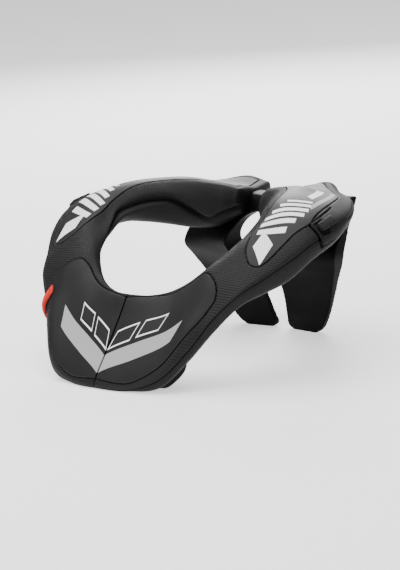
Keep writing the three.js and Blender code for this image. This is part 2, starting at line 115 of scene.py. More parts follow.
END_TURN = 3.4          # degrees that this end adds
END_CORE = 0.25         # share of the section that its last face keeps
END_CURVE = 0.8         # how full its rounding is

# Panels: turn, inner and outer radius in hundredths of REACH
BIB_PANEL = [
    [0, 59.5, 89.2], [9, 58, 90], [19, 57.5, 91], [27.5, 58.5, 91], [35, 60, 88.5],
    [42, 61.5, 86.3], [47, 65, 84], [49.2, 70, 83], [50.4, 76, 80.5],
]
SHOULDER_PANEL = [
    [64.4, 80.5, 82.5], [65.2, 76, 85], [67, 72, 87.5], [71, 67.5, 89], [76, 64, 89.5],
    [81, 62, 90], [86, 61, 91.5], [89.5, 60, 91.5], [94, 59, 89], [103, 58, 87.5],
    [114, 57, 86.5], [126, 56.5, 86], [137, 56, 84.5], [150, 55.5, 85], [161, 56.5, 88.5],
    [166, 58.5, 87.5],
]
PANEL_WALL = 0.0011     # thickness of a panel
PANEL_ROUND = 0.0006    # how wide and how deep a panel's edge is rounded off
PANEL_SINK = 0.0009
GROOVE_GAP = 0.0006     # from a panel's edge to the wall of the groove round it
GROOVE_ROUND = 0.0008   # how wide and how deep that wall is rounded
GROOVE_DEPTH = 0.0017

# Stabiliser: height, inner and outer half width, then its front face from the foot's
# front and its back face from the foot's back, at the inner and at the outer side.
# Hundredths of LEG_HEIGHT, the widths of LEG_REACH.
LEG_SLICES = [
    [0, 14.5, 47, 0, -2.2, 0, -2.2],
    [3.5, 8.5, 55.5, -0.4, -2.6, 0, -2.2],
    [12, 9.5, 65, -2.6, -4.4, -3.1, -3.9],
    [25, 12.3, 75, -6.6, -7, -7, -6.1],
    [42, 17, 88, -15.8, -13.7, -11.8, -10.5],
    [52, 19.8, 96, -27.2, -18, -15.3, -12.7],
    [61, 22.5, 102, -34.2, -22.3, -18.4, -14.9],
    [68, 25, 102, -37.2, -19.7, -22.3, -12.3],
    [75, 23.5, 101.5, -33.3, -13.1, -22.8, -9.2],
    [82, 19.5, 101, -24.5, -9.2, -17.5, -5.3],
    [87, 9, 100.5, -21.9, -6.1, -12.3, -2.2],
    [89.5, -0.5, 100.5, -21, -4.8, -10.5, -1.3],
    [95, -0.5, 101, -18.4, -2.6, -5.7, 1.8],
    [99, -0.5, 101, -14.9, 0, -3.5, 3.5],
    [100, -0.5, 97, -12.3, 1.3, -5.3, 2.2],
]
LEG_OVERLAP = -0.5      # the least inner half width, where the two halves run into each other
VOXEL = 0.0009          # grain of the remesh that fuses the two halves

# Strap bridge and pull tab, in turns and in places on the line heel, lip, side, rim, field
BRIDGE_TURNS = [88, 104.5]
BRIDGE_EDGES = [1.5, 3.15]
RECESS_TURNS = [88.7, 93.4]
RECESS_EDGES = [2.12, 3.06]
BAR_TURNS = [89.3, 97.2]
BAR_EDGES = [2.4, 2.95]
TAB_TURNS = [45, 47.7]
TAB_EDGES = [0.4, 3.25]
FOOT_INSET = 0.02       # where a foot of the bridge begins and ends, in from its edge
FOOT_WIDTH = 0.25
POCKET_MARGIN = 0.6     # degrees that the strap pocket is longer than the bridge, at each end
POCKET_CLEARANCE = 0.06  # how much wider it is at each side, in places on that line
SHARP_ANGLE = 0.9       # edges of a band that bend more than this are rounded, in radians

# Closure strap: turn and radius of its rear edge, then of its front edge
STRAP_ROWS = [
    [26, 60, 26, 75], [14, 57, 13, 73], [0, 56, 0, 72], [-14, 57, -13, 73],
    [-25, 60, -24, 75], [-35, 66, -33, 79], [-43, 74, -39, 81], [-50, 78, -44, 82],
]
# Chest pad: turn, inner and outer radius, share of its depth
CHEST_ROWS = [
    [6, 68, 78, 0.5], [8, 66, 81, 1], [14, 65, 82, 1], [20, 64.5, 82, 1],
    [26, 64.5, 81.5, 1], [32, 66, 81, 1], [35.5, 67, 80.5, 0.85], [37, 69, 79, 0.35],
]
WELD = 1e-6             # points closer than this become one
SLIVER = 1e-7           # edges shorter than this are taken out
LEAST = 1e-9            # keeps a division away from zero

# Printed bars on the panels: place along the ring and out from the neck, turn of the
# bar, its length, width and slant, in metres and radians
BIB_GREY = [
    [0.030, 0.1125, -0.36, 0.075, 0.0095, 0.9],
]
BIB_OUTLINED = [
    [0.0125, 0.1070, -0.36, 0.021, 0.0085, 0.9],
    [0.0370, 0.0975, -0.36, 0.021, 0.0085, 0.9],
]
SHOULDER_WHITE = [
    [0.1435, 0.1165, -0.25, 0.015, 0.016, 0.5],
    [0.1560, 0.1120, 1.05, 0.026, 0.0052, 0.0],
    [0.1650, 0.1100, 1.05, 0.031, 0.0052, 0.0],
    [0.1740, 0.1090, 1.05, 0.034, 0.0052, 0.0],
    [0.1830, 0.1085, 1.05, 0.031, 0.0052, 0.0],
    [0.1920, 0.1080, 1.05, 0.026, 0.0046, 0.0],
    [0.2005, 0.1075, 1.05, 0.021, 0.0040, 0.0],
    [0.2400, 0.1100, 0.0, 0.050, 0.0060, 0.8],
]
SHOULDER_GREY = [
    [0.2300, 0.1205, 0.0, 0.070, 0.0040, 0.8],
]
PRINT_EDGE = 0.0001     # half the width over which a printed edge fades


# Curves and sections

def blend(start, end, slope0, slope1, t):
    """The cubic from start to end with a slope at each, at t between 0 and 1."""
    rise = end - start
    return start + t * (slope0 + t * (3 * rise - 2 * slope0 - slope1 + t * (slope0 + slope1 - 2 * rise)))


def cubic(points, spot):
    """A smooth open curve through rows of numbers, at a place counted in rows."""
    rows = np.asarray(points, float)
    last = len(rows) - 1
    k = min(max(int(math.floor(spot)), 0), last - 1)
    t = spot - k
    before, start, end, after = rows[max(k - 1, 0)], rows[k], rows[k + 1], rows[min(k + 2, last)]
    slope0 = (end - before) / (2 if k > 0 else 1)
    slope1 = (after - start) / (2 if k + 1 < last else 1)
    return blend(start, end, slope0, slope1, t)


def section_at(turn):
    """The named points of the section at a turn, each a radius and a height."""
    last = len(SECTIONS) - 1
    k = 0
    while k < last - 1 and turn > SECTIONS[k + 1][0]:
        k += 1
    picked = [SECTIONS[min(max(i, 0), last)] for i in (k - 1, k, k + 1, k + 2)]
    turns = [row[0] for row in picked]
    before, start, end, after = [np.array(row[1:], float) for row in picked]
    span = turns[2] - turns[1]
    t = (turn - turns[1]) / span
    slope0 = (end - before) / (turns[2] - turns[0]) * span
    slope1 = (after - start) / (turns[3] - turns[1]) * span
    values = blend(start, end, slope0, slope1, t) / 100 * np.array([REACH, CROWN])
    points = dict(zip(SECTION_POINTS, values))
    points["seam"] = (points["fold"] + points["roll"]) / 2 + np.array([SEAM_DEPTH, 0])
    return points


def root_distances(starts, ends):
    """Square roots of the distances between rows of points, as a column."""
    return np.sqrt(np.linalg.norm(starts - ends, axis=1))[:, None]


def closed_curve(points, steps):
    """A closed centripetal curve through points, with a number of steps between each two."""
    points = np.asarray(points, float)
    ahead = np.roll(points, -1, axis=0)
    far = np.roll(points, -2, axis=0)
    behind = np.roll(points, 1, axis=0)
    d0 = root_distances(behind, points)
    d1 = root_distances(points, ahead)
    d2 = root_distances(ahead, far)
    slope0 = ((points - behind) / d0 - (ahead - behind) / (d0 + d1) + (ahead - points) / d1) * d1
    slope1 = ((ahead - points) / d1 - (far - points) / (d1 + d2) + (far - ahead) / d2) * d1
    t = (np.arange(steps) / steps)[None, :, None]
    curve = blend(points[:, None], ahead[:, None], slope0[:, None], slope1[:, None], t)
    return curve.reshape(-1, points.shape[1])


def outline_at(turn):
    """The whole outline of the section at a turn, STEPS points between two named ones."""
    section = section_at(turn)
    return closed_curve([section[name] for name in OUTLINE_POINTS], STEPS)


def outward_of(line, closed=True):
    """Unit normals of an outline, pointing out of it."""
    ahead, behind = np.roll(line, -1, axis=0), np.roll(line, 1, axis=0)
    if not closed:
        ahead[-1], behind[0] = line[-1], line[0]
    along = ahead - behind
    normal = np.stack([along[:, 1], -along[:, 0]], axis=1)
    return normal / np.maximum(np.linalg.norm(normal, axis=1), LEAST)[:, None]


def placed(turn, line):
    """Points of a left section in space. Near the front slit they ease away from it."""
    angle = np.radians(turn)
    across = line[:, 0] * np.sin(angle)
    across = across + HALF_SLIT * np.clip(1 - across / SLIT_EASE, 0, 1)
    along = NECK_Y - line[:, 0] * np.cos(angle)
    return np.stack([across, along, np.maximum(line[:, 1], 0)], axis=1)


def rounded(distance, width, depth):
    """How far a surface sinks beside an edge with a rounded corner."""
    near = np.clip(1 - distance / width, 0, 1)
    return depth * (1 - np.sqrt(1 - near * near))


def run_along(line):
    """The length along a line up to each of its points."""
    steps = np.linalg.norm(np.diff(line, axis=0), axis=1)
    return np.concatenate([[0], np.cumsum(steps)])


def ring_marks(turn, run):
    """UV places of a cut through the ring: turns one way, the length along the cut the other."""
    return np.stack([np.full(len(run), math.radians(turn) * UV_RADIUS), run], axis=1)


# Meshes

def make_grid(grid, marks):
    """A sheet of faces through a grid of points, with a UV map."""
    columns, rows = grid.shape[:2]
    bm = bmesh.new()
    bmesh.ops.create_grid(bm, x_segments=columns - 1, y_segments=rows - 1, size=1)
    uv = bm.loops.layers.uv.new("UVMap")
    spots = {}
    for vert in bm.verts:
        i = round((vert.co.x + 1) / 2 * (columns - 1))
        j = round((vert.co.y + 1) / 2 * (rows - 1))
        spots[vert] = (i, j)
    for face in bm.faces:
        for loop in face.loops:
            loop[uv].uv = marks[spots[loop.vert]]
    for vert, spot in spots.items():
        vert.co = grid[spot]
    return bm


def close_up(bm):
    """Welds a sheet rolled into a tube, closes its ends and turns its faces outwards."""
    bmesh.ops.remove_doubles(bm, verts=bm.verts, dist=WELD)
    open_edges = [edge for edge in bm.edges if edge.is_boundary]
    bmesh.ops.holes_fill(bm, edges=open_edges, sides=0)
    bmesh.ops.dissolve_degenerate(bm, dist=SLIVER, edges=bm.edges)
    bmesh.ops.recalc_face_normals(bm, faces=bm.faces)


def make_piece(name, bm, material, node):
    """A finished piece that rides on the one body and stands for a CAD node."""
    mesh = bpy.data.meshes.new(name)
    bm.to_mesh(mesh)
    bm.free()
    mesh.materials.append(material)
    mesh.shade_smooth()
    piece = bpy.data.objects.new(name, mesh)
    bpy.context.scene.collection.objects.link(piece)
    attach(piece, "root")
    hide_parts(node)
    return piece


def mirror(bm):
    """Turns a left piece into a right one."""
    bmesh.ops.scale(bm, vec=Vector((-1, 1, 1)), verts=bm.verts)
    bmesh.ops.reverse_faces(bm, faces=bm.faces)


def both_sides(name, bm, material):
    """A piece for the left half, and its mirror image for the right."""
    other = bm.copy()
    mirror(other)
    left = make_piece(f"{name}_left_skin", bm, material, f"{name}_left")
    right = make_piece(f"{name}_right_skin", other, material, f"{name}_right")
    return left, right


# Materials

def add_node(tree, kind, inputs=None, **settings):
    """A node with its settings, and with inputs that are sockets to link or plain values."""
    node = tree.nodes.new(kind)
    for key, value in settings.items():
        setattr(node, key, value)
    for key, value in (inputs or {}).items():
        if isinstance(value, bpy.types.NodeSocket):
            tree.links.new(value, node.inputs[key])
        else:
            node.inputs[key].default_value = value
    return node


def math_node(tree, operation, a, b=0.0, c=0.0):
    return add_node(tree, "ShaderNodeMath", {0: a, 1: b, 2: c}, operation=operation).outputs[0]


def new_group(name, inputs, outputs):
    """An empty shader node group with named inputs and outputs."""
    tree = bpy.data.node_groups.new(name, "ShaderNodeTree")
    for key, kind, value in inputs:
        socket = tree.interface.new_socket(key, in_out="INPUT", socket_type=kind)
        if value is not None:
            socket.default_value = value
    for key, kind in outputs:
        tree.interface.new_socket(key, in_out="OUTPUT", socket_type=kind)
    return tree, add_node(tree, "NodeGroupInput").outputs, add_node(tree, "NodeGroupOutput").inputs


def make_ridges_group():
    """Fine parallel ridges: a height from a place on the surface, a direction and a pitch."""
    tree, given, result = new_group(
        "Fine ridges",
        [("Vector", "NodeSocketVector", None), ("Angle", "NodeSocketFloat", 0.8),
         ("Pitch", "NodeSocketFloat", 0.002), ("Waver", "NodeSocketFloat", 0.0004)],
        [("Height", "NodeSocketFloat")])
    apart = add_node(tree, "ShaderNodeSeparateXYZ", {0: given["Vector"]}).outputs
    noise = add_node(tree, "ShaderNodeTexNoise", {"Vector": given["Vector"], "Scale": 90.0, "Detail": 2.0})
    sway = math_node(tree, "MULTIPLY", math_node(tree, "SUBTRACT", noise.outputs[0], 0.5), given["Waver"])
    along = math_node(tree, "MULTIPLY", apart[0], math_node(tree, "COSINE", given["Angle"]))
    across = math_node(tree, "MULTIPLY", apart[1], math_node(tree, "SINE", given["Angle"]))
    place = math_node(tree, "ADD", math_node(tree, "ADD", along, across), sway)
    phase = math_node(tree, "MULTIPLY", math_node(tree, "DIVIDE", place, given["Pitch"]), math.tau)
    height = math_node(tree, "MULTIPLY_ADD", math_node(tree, "SINE", phase), 0.5, 0.5)
    tree.links.new(height, result["Height"])
    return tree


def make_grain_group():
    """Moulded grain: a fine height and a slow mask for shade and gloss."""
    tree, given, result = new_group(
        "Moulded grain",
        [("Vector", "NodeSocketVector", None), ("Scale", "NodeSocketFloat", 1800.0)],
        [("Height", "NodeSocketFloat"), ("Mask", "NodeSocketFloat")])
    place = given["Vector"]
    fine = add_node(tree, "ShaderNodeTexNoise", {"Vector": place, "Scale": given["Scale"], "Detail": 3.0})
    slow = add_node(tree, "ShaderNodeTexNoise", {"Vector": place, "Scale": 28.0, "Detail": 5.0})
    tree.links.new(fine.outputs[0], result["Height"])
    tree.links.new(slow.outputs[0], result["Mask"])
    return tree


def make_weave_group():
    """Webbing: crossing yarns, as a height."""
    tree, given, result = new_group(
        "Webbing weave",
        [("Vector", "NodeSocketVector", None), ("Pitch", "NodeSocketFloat", 0.0012)],
        [("Height", "NodeSocketFloat")])
    apart = add_node(tree, "ShaderNodeSeparateXYZ", {0: given["Vector"]}).outputs
    waves = []
    for axis in (0, 1):
        phase = math_node(tree, "MULTIPLY", math_node(tree, "DIVIDE", apart[axis], given["Pitch"]), math.pi)
        waves.append(math_node(tree, "SINE", phase))
    weave = math_node(tree, "ABSOLUTE", math_node(tree, "MULTIPLY", waves[0], waves[1]))
    tree.links.new(weave, result["Height"])
    return tree


def make_bar_group():
    """A printed bar: a slanted strip about a centre, as a mask and as its outline."""
    tree, given, result = new_group(
        "Printed bar",
        [("Vector", "NodeSocketVector", None), ("Along", "NodeSocketFloat", 0.0),
         ("Across", "NodeSocketFloat", 0.0), ("Angle", "NodeSocketFloat", 0.0),
         ("Half length", "NodeSocketFloat", 0.01), ("Half width", "NodeSocketFloat", 0.004),
         ("Slant", "NodeSocketFloat", 0.0), ("Line", "NodeSocketFloat", 0.0008)],
        [("Mask", "NodeSocketFloat"), ("Outline", "NodeSocketFloat")])
    apart = add_node(tree, "ShaderNodeSeparateXYZ", {0: given["Vector"]}).outputs
    u = math_node(tree, "SUBTRACT", apart[0], given["Along"])
    v = math_node(tree, "SUBTRACT", apart[1], given["Across"])
    cosine = math_node(tree, "COSINE", given["Angle"])
    sine = math_node(tree, "SINE", given["Angle"])
    y = math_node(tree, "SUBTRACT", math_node(tree, "MULTIPLY", v, cosine),
                  math_node(tree, "MULTIPLY", u, sine))
    x = math_node(tree, "ADD", math_node(tree, "MULTIPLY", u, cosine),
                  math_node(tree, "MULTIPLY", v, sine))
    x = math_node(tree, "MULTIPLY_ADD", y, given["Slant"], x)
    beyond_x = math_node(tree, "SUBTRACT", math_node(tree, "ABSOLUTE", x), given["Half length"])
    beyond_y = math_node(tree, "SUBTRACT", math_node(tree, "ABSOLUTE", y), given["Half width"])
    beyond = math_node(tree, "MAXIMUM", beyond_x, beyond_y)
    mask = add_node(tree, "ShaderNodeMapRange", {0: beyond, 1: -PRINT_EDGE, 2: PRINT_EDGE, 3: 1.0, 4: 0.0})
    tree.links.new(mask.outputs[0], result["Mask"])
    inside = math_node(tree, "ADD", beyond, given["Line"])
    line = add_node(tree, "ShaderNodeMapRange", {0: inside, 1: -PRINT_EDGE, 2: PRINT_EDGE, 3: 0.0, 4: 1.0})
    tree.links.new(math_node(tree, "MULTIPLY", line.outputs[0], mask.outputs[0]), result["Outline"])
    return tree


RIDGES = make_ridges_group()
GRAIN = make_grain_group()
WEAVE = make_weave_group()
BAR = make_bar_group()


def new_material(name, roughness, specular):
    """A material, its node tree, its shader and its coordinates."""
    material = bpy.data.materials.new(name)
    material.use_nodes = True
    tree = material.node_tree
    shader = tree.nodes["Principled BSDF"]
    shader.inputs["Roughness"].default_value = roughness
    shader.inputs["Specular IOR Level"].default_value = specular
    coordinates = add_node(tree, "ShaderNodeTexCoord").outputs
    return material, tree, shader, coordinates


def fill_group(tree, group, inputs):
    """The outputs of a node group with its inputs set."""
    return add_node(tree, "ShaderNodeGroup", inputs, node_tree=group).outputs


def colour_mix(tree, mask, dark, light):
    """A mix of two colours, each a socket or a row of three numbers."""
    node = add_node(tree, "ShaderNodeMix", {0: mask}, data_type="RGBA")
    for key, value in ((6, dark), (7, light)):
        if isinstance(value, bpy.types.NodeSocket):
            tree.links.new(value, node.inputs[key])
        else:
            node.inputs[key].default_value = (*value, 1)
    return node.outputs[2]


def set_bump(tree, shader, heights):
    """Bumps one on another: pairs of a height and how deep it is, in metres."""
    normal = None
    for height, depth in heights:
        inputs = {"Height": height, "Strength": 1.0, "Distance": depth}
        if normal is not None:
            inputs["Normal"] = normal
        normal = add_node(tree, "ShaderNodeBump", inputs).outputs[0]
    tree.links.new(normal, shader.inputs["Normal"])


def ridged_material(name, dark, light, angle, pitch, depth, roughness, specular=0.18, level=False):
    """Dark moulded foam or plastic with fine ridges, across its UV map or level round it, their crests
    painted lighter and their troughs darker as painted shade.
    """
    material, tree, shader, coordinates = new_material(name, roughness, specular)
    vector = coordinates["UV"]
    if level:
        apart = add_node(tree, "ShaderNodeSeparateXYZ", {0: coordinates["Object"]}).outputs
        vector = add_node(tree, "ShaderNodeCombineXYZ", {0: apart[2], 1: apart[0]}).outputs[0]
    ridges = fill_group(tree, RIDGES, {"Vector": vector, "Angle": angle, "Pitch": pitch})
    grain = fill_group(tree, GRAIN, {"Vector": coordinates["Object"]})
    cloudy = math_node(tree, "MULTIPLY", grain["Mask"], 0.4)
    # Colour follows the ridges: lighter crests and darker troughs are painted light and shade on the fine
    # ridges, and the cloudy part is a random tone of the material.
    shade = math_node(tree, "MULTIPLY_ADD", ridges["Height"], 0.6, cloudy)
    tree.links.new(colour_mix(tree, shade, dark, light), shader.inputs["Base Color"])
    set_bump(tree, shader, [(grain["Height"], 0.00008), (ridges["Height"], depth)])
    return material


def bar_masks(tree, vector, bars, output):
    """The union of several printed bars."""
    union = None
    for along, across, angle, length, width, slant in bars:
        bar = fill_group(tree, BAR, {
            "Vector": vector, "Along": along, "Across": across, "Angle": angle,
            "Half length": length / 2, "Half width": width / 2, "Slant": slant})[output]
        union = bar if union is None else math_node(tree, "MAXIMUM", union, bar)
    return union


def panel_material(name, white_bars, grey_bars, outlined_bars):
    """Smooth satin panel with a printed design."""
    material, tree, shader, coordinates = new_material(name, roughness=0.5, specular=0.2)
    grain = fill_group(tree, GRAIN, {"Vector": coordinates["Object"], "Scale": 2600.0})
    colour = colour_mix(tree, grain["Mask"], (0.0052, 0.0052, 0.0056), (0.0082, 0.0082, 0.0088))
    white = (0.82, 0.82, 0.82)
    for bars, output, ink in (
            (grey_bars, "Mask", (0.3, 0.3, 0.3)), (outlined_bars, "Mask", (0.01, 0.01, 0.0107)),
            (outlined_bars, "Outline", white), (white_bars, "Mask", white)):
        if bars:
            colour = colour_mix(tree, bar_masks(tree, coordinates["UV"], bars, output), colour, ink)
    tree.links.new(colour, shader.inputs["Base Color"])
    gloss = add_node(tree, "ShaderNodeMapRange", {0: grain["Mask"], 3: 0.48, 4: 0.58})
    tree.links.new(gloss.outputs[0], shader.inputs["Roughness"])
    set_bump(tree, shader, [(grain["Height"], 0.00003)])
    return material


def webbing_material(name, dark, light):
    """Woven webbing."""
    material, tree, shader, coordinates = new_material(name, roughness=0.75, specular=0.3)
    weave = fill_group(tree, WEAVE, {"Vector": coordinates["UV"]})
    tree.links.new(colour_mix(tree, weave["Height"], dark, light), shader.inputs["Base Color"])
    set_bump(tree, shader, [(weave["Height"], 0.0003)])
    return material


foam = ridged_material(
    "Ridged foam", (0.0012, 0.0012, 0.0013), (0.0068, 0.0068, 0.0072),
    angle=0.6, pitch=0.0016, depth=0.00022, roughness=0.58)
# The pad's foam is lighter than the shell's, partly its own paler, smoother foam and partly painted light
# that stands in for the light its underside catches from below.
pad_foam = ridged_material(
    "Pad foam", (0.0018, 0.0018, 0.0019), (0.0085, 0.0085, 0.009),
    angle=0.2, pitch=0.0016, depth=0.00016, roughness=0.6, specular=0.16)
chest_foam = ridged_material(
    "Chest foam", (0.0015, 0.0015, 0.0016), (0.003, 0.003, 0.0032),
    angle=0.0, pitch=0.0009, depth=0.00004, roughness=0.7)
moulded = ridged_material(
    "Moulded plate", (0.0015, 0.0015, 0.0016), (0.0055, 0.0055, 0.006),
    angle=1.3, pitch=0.0013, depth=0.00014, roughness=0.5)
ribbed = ridged_material(
    "Ribbed stabiliser", (0.0004, 0.0004, 0.0004), (0.0014, 0.0014, 0.0015),
    angle=0.1, pitch=0.0013, depth=0.00008, roughness=0.5, specular=0.05, level=True)
black_webbing = webbing_material("Black webbing", (0.006, 0.006, 0.006), (0.03, 0.03, 0.03))
red_webbing = webbing_material("Red webbing", (0.4, 0.012, 0.008), (0.68, 0.035, 0.022))
satin = {
    "bib_panel": panel_material("Bib panel", [], BIB_GREY, BIB_OUTLINED),
    "shoulder_panel": panel_material("Shoulder panel", SHOULDER_WHITE, SHOULDER_GREY, []),
}


# The collar: shell and pad of one half

def ring_turns():
    """Turns of the ring's cuts, closer together at the slit and at the strap pocket."""
    start, end = BRIDGE_TURNS[0] - POCKET_MARGIN, BRIDGE_TURNS[1] + POCKET_MARGIN
    base = np.linspace(0, SECTIONS[-1][0], RING_CUTS)
    near_slit = [0.15, 0.35, 0.6]
    beside_edge = [-0.3, -0.05, 0.05, 0.3]
    near_pocket = [edge + step for edge in (start, end) for step in beside_edge]
    return np.unique(np.concatenate([base, near_slit, near_pocket]))


def pocket_share(turn, place):
    """1 where a place on the outline lies in the strap pocket, 0 outside it."""
    start, end = BRIDGE_TURNS[0] - POCKET_MARGIN, BRIDGE_TURNS[1] + POCKET_MARGIN
    turn_fade, place_fade = 0.2, 0.08
    across = np.clip((min(turn - start, end - turn)) / turn_fade + 0.5, 0, 1)
    count = len(OUTLINE_POINTS)
    from_heel = count - OUTLINE_POINTS.index("heel")
    low = BRIDGE_EDGES[0] - POCKET_CLEARANCE - from_heel
    high = BRIDGE_EDGES[1] + POCKET_CLEARANCE - from_heel
    wrapped = np.where(place > count / 2, place - count, place)
    return across * np.clip((np.minimum(wrapped - low, high - wrapped)) / place_fade + 0.5, 0, 1)


def ring_line(turn, part):
    """The outline of the shell or the pad at a turn, with rounded edges at the seams."""
    whole = outline_at(turn)
    normal = outward_of(whole)
    place = np.arange(len(whole)) / STEPS
    seam = OUTLINE_POINTS.index("seam") * STEPS
    sunk = pocket_share(turn, place) * (BRIDGE_DEPTH + BRIDGE_SLOT - BRIDGE_PROUD)
    kept = np.arange(0, seam + 1) if part == "shell" else np.arange(seam, len(whole) + 1) % len(whole)
    line, out, sunk = whole[kept], normal[kept], sunk[kept]
    run = run_along(line)
    beside = np.minimum(run, run[-1] - run)
    line = line - out * (sunk + rounded(beside, SEAM_ROUND, SEAM_SINK))[:, None]
    closing = np.linspace(line[-1], line[0], SEAM_STEPS + 1)[1:]
    return np.concatenate([line, closing]), np.concatenate([run, np.full(SEAM_STEPS, run[-1])])


def ring_grid(part):
    """The grid of points of the shell or the pad of the left half, and its UV places."""
    points, marks = [], []
    for turn in ring_turns():
        line, run = ring_line(turn, part)
        points.append(placed(turn, line))
        marks.append(ring_marks(turn, run))
    last = SECTIONS[-1][0]
    line, run = ring_line(last, part)
    middle = outline_at(last).mean(axis=0)
    for k in range(1, END_CUTS + 1):
        angle = k / END_CUTS * math.pi / 2
        turn = last + END_TURN * math.sin(angle)
        drawn = middle + (line - middle) * (END_CORE + (1 - END_CORE) * math.cos(angle) ** END_CURVE)
        points.append(placed(turn, drawn))
        marks.append(ring_marks(turn, run))
    return np.array(points), np.array(marks)


def panel_row(rows, spot):
    """Turn, inner and outer radius of a panel at a place counted in rows."""
    turn, inner, outer = cubic(rows, spot)
    return turn, inner / 100 * REACH, outer / 100 * REACH


def top_points(turn, radii):
    """Points of the half's top at a turn, one for each radius."""
    whole = outline_at(turn)
    top = whole[: OUTLINE_POINTS.index("roll") * STEPS + 1]
    order = np.argsort(top[:, 0])
    heights = np.interp(radii, top[order, 0], top[order, 1])
    return placed(turn, np.stack([radii, heights], axis=1))


def panel_outline(rows, at_slit):
    """The points round a panel, but not along the front slit."""
    side_points, end_points = 500, 60
    spots = np.linspace(0, len(rows) - 1, side_points)
    inner, outer = [], []
    for spot in spots:
        turn, near, far = panel_row(rows, spot)
        edge = top_points(max(turn, 0), np.array([near, far]))
        inner.append(edge[0])
        outer.append(edge[1])
    ends = [spots[-1]] if at_slit else [spots[0], spots[-1]]
    across = []
    for spot in ends:
        turn, near, far = panel_row(rows, spot)
        across.extend(top_points(max(turn, 0), np.linspace(near, far, end_points)))
    return inner + outer + across


def near_tree(points):
    """A tree that finds the nearest of some points."""
    tree = KDTree(len(points))
    for i, point in enumerate(points):
        tree.insert(point, i)
    tree.balance()
    return tree


def inside_panel(rows, turn, radius):
    """Which of many places on the ring lie inside a panel."""
    row_count, slack = 200, 1e-6
    table = np.array([panel_row(rows, spot) for spot in np.linspace(0, len(rows) - 1, row_count)])
    near = np.interp(turn, table[:, 0], table[:, 1])
    far = np.interp(turn, table[:, 0], table[:, 2])
    return (turn > table[0, 0] - slack) & (turn < table[-1, 0]) & (radius > near) & (radius < far)


PANELS = [("bib_panel", BIB_PANEL, True), ("shoulder_panel", SHOULDER_PANEL, False)]
TREES = {name: near_tree(panel_outline(rows, at_slit)) for name, rows, at_slit in PANELS}


def sink_for_panels(bm):
    """Presses the shell in under each panel, with a rounded edge round it."""
    bm.normal_update()
    least_upward = 0.02
    verts = [vert for vert in bm.verts if vert.normal.z > least_upward]
    places = np.array([vert.co for vert in verts])
    turn = np.degrees(np.arctan2(places[:, 0], NECK_Y - places[:, 1]))
    radius = np.hypot(places[:, 0], places[:, 1] - NECK_Y)
    moves = np.zeros(len(verts))
    for name, rows, _ in PANELS:
        inside = inside_panel(rows, turn, radius)
        for i, vert in enumerate(verts):
            distance = 0.0 if inside[i] else max(TREES[name].find(vert.co)[2] - GROOVE_GAP, 0)
            if distance < GROOVE_ROUND:
                moves[i] = max(moves[i], float(rounded(distance, GROOVE_ROUND, GROOVE_DEPTH)))
    for vert, move in zip(verts, moves):
        vert.co -= vert.normal * float(move)


def make_collar():
    shell = make_grid(*ring_grid("shell"))
    close_up(shell)
    sink_for_panels(shell)
    both_sides("collar_shell", shell, foam)
    pad = make_grid(*ring_grid("pad"))
    close_up(pad)
    for piece in both_sides("comfort_pad", pad, pad_foam):
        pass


def edge_shares(count, tight):
    """Shares from 0 to 1, closer together at both ends."""
    middle = np.linspace(0, 1, count)
    ends = np.array([0.004, 0.01, 0.018, 0.028]) * tight
    return np.unique(np.concatenate([middle, ends, 1 - ends]))


def give_thickness(bm, wall):
    """Makes a sheet into a closed plate by a second sheet under it."""
    bm.normal_update()
    made = bmesh.ops.duplicate(bm, geom=bm.verts[:] + bm.edges[:] + bm.faces[:])
    under = [item for item in made["geom"] if isinstance(item, bmesh.types.BMVert)]
    faces = [item for item in made["geom"] if isinstance(item, bmesh.types.BMFace)]
    downs = {vert: vert.normal.copy() for vert in under}
    for vert, normal in downs.items():
        vert.co -= normal * wall
    bmesh.ops.reverse_faces(bm, faces=faces)
    bmesh.ops.bridge_loops(bm, edges=[edge for edge in bm.edges if edge.is_boundary])
    bmesh.ops.recalc_face_normals(bm, faces=bm.faces)


def make_panels():
    for name, rows, at_slit in PANELS:
        spots = edge_shares(count=120, tight=0.5) * (len(rows) - 1)
        shares = edge_shares(count=30, tight=1.5)
        points, marks = [], []
        for spot in spots:
            turn, near, far = panel_row(rows, spot)
            radii = near + (far - near) * shares
            line = top_points(max(turn, 0), radii)
            points.append(line)
            if at_slit:
                marks.append(np.stack([line[:, 0], -line[:, 1]], axis=1))
            else:
                marks.append(ring_marks(turn, radii))
        bm = make_grid(np.array(points), np.array(marks))
        bm.normal_update()
        if sum(face.normal.z for face in bm.faces) < 0:
            bmesh.ops.reverse_faces(bm, faces=bm.faces)
            bm.normal_update()
        for vert in bm.verts:
            distance = TREES[name].find(vert.co)[2]
            if at_slit:
                distance = min(distance, vert.co.x - HALF_SLIT)
            vert.co -= vert.normal * float(rounded(distance, PANEL_ROUND, PANEL_SINK))
        give_thickness(bm, PANEL_WALL)
        both_sides(name, bm, satin[name])


# Bands round the collar's outer edge

def edge_line(turn, edges, height, count):
    """Points along the collar's edge between two places on it, at a height off it."""
    whole = outline_at(turn)
    normal = outward_of(whole)
    start = OUTLINE_POINTS.index("heel")
    spots = (start + np.linspace(edges[0], edges[1], count)) * STEPS
    index = np.floor(spots).astype(int) % len(whole)
    ahead = (index + 1) % len(whole)
    share = (spots - np.floor(spots))[:, None]
    base = whole[index] * (1 - share) + whole[ahead] * share
    out = normal[index] * (1 - share) + normal[ahead] * share
    return base + out * height


def recess_share(turn, places):
    """1 in the recess that the strap bar stands over, 0 outside it."""
    turn_fade, place_fade = 0.5, 0.06
    in_turns = min(turn - RECESS_TURNS[0], RECESS_TURNS[1] - turn)
    in_places = np.minimum(places - RECESS_EDGES[0], RECESS_EDGES[1] - places)
    return np.clip(in_turns / turn_fade + 0.5, 0, 1) * np.clip(in_places / place_fade + 0.5, 0, 1)


